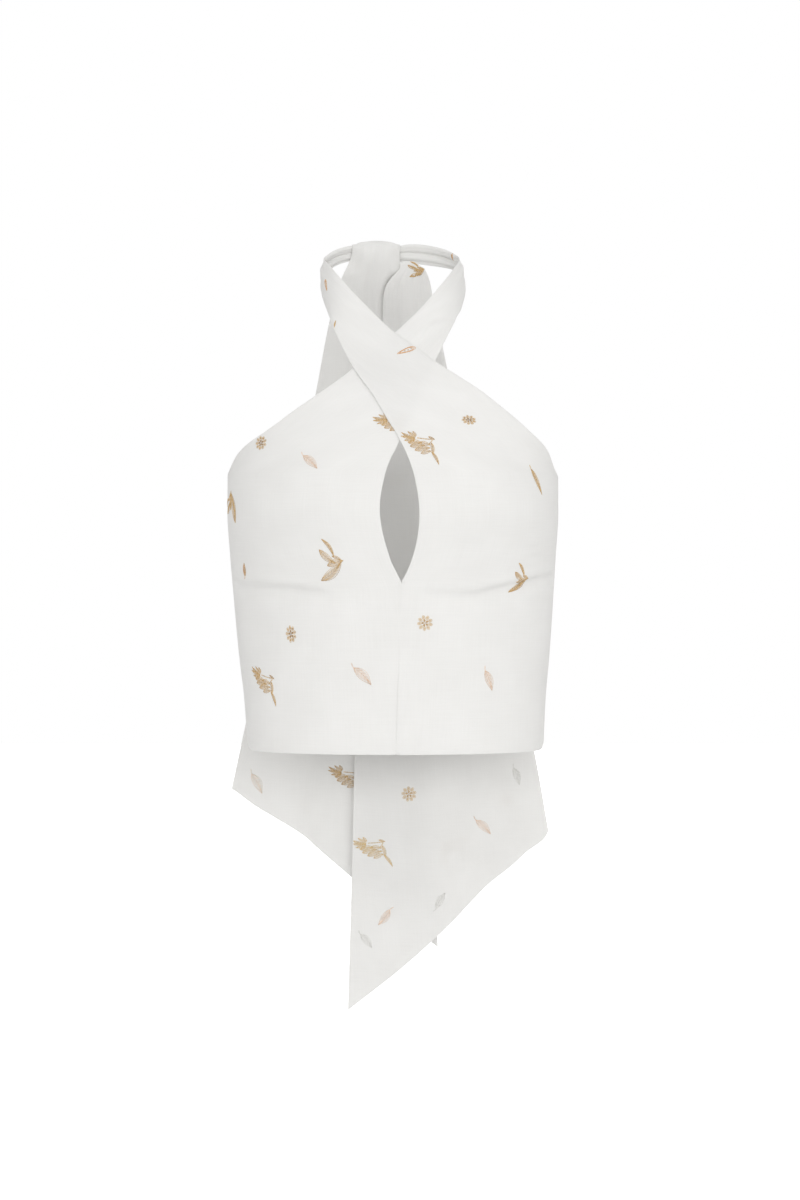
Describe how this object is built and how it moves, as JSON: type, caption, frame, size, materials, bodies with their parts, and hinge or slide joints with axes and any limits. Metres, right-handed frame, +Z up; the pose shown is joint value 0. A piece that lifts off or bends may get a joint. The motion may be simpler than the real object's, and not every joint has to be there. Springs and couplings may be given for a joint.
{
  "type": "halter neck top",
  "caption": "Cropped halter top, hollow as worn: crossed straps over a keyhole, gathered wrap at the nape, two wide slanted tie ends behind",
  "frame": {"origin": "the middle of the height of the inner face of the wrap at the nape, where the wearer's neck holds the halter up, on the wearer's centre plane", "axes": "+Z up, the wearer faces -Y, +X to the wearer's left"},
  "size_m": [0.2978, 0.2323, 0.7133],
  "materials": {
    "cloth": "matt plain-woven cloth with a fine slub, small gold thread motifs"
  },
  "bodies": {
    "root": {"front_left": "cloth", "front_right": "cloth", "back": "cloth", "nape_knot": "cloth", "tie_left": "cloth", "tie_right": "cloth"}
  },
  "joints": []
}
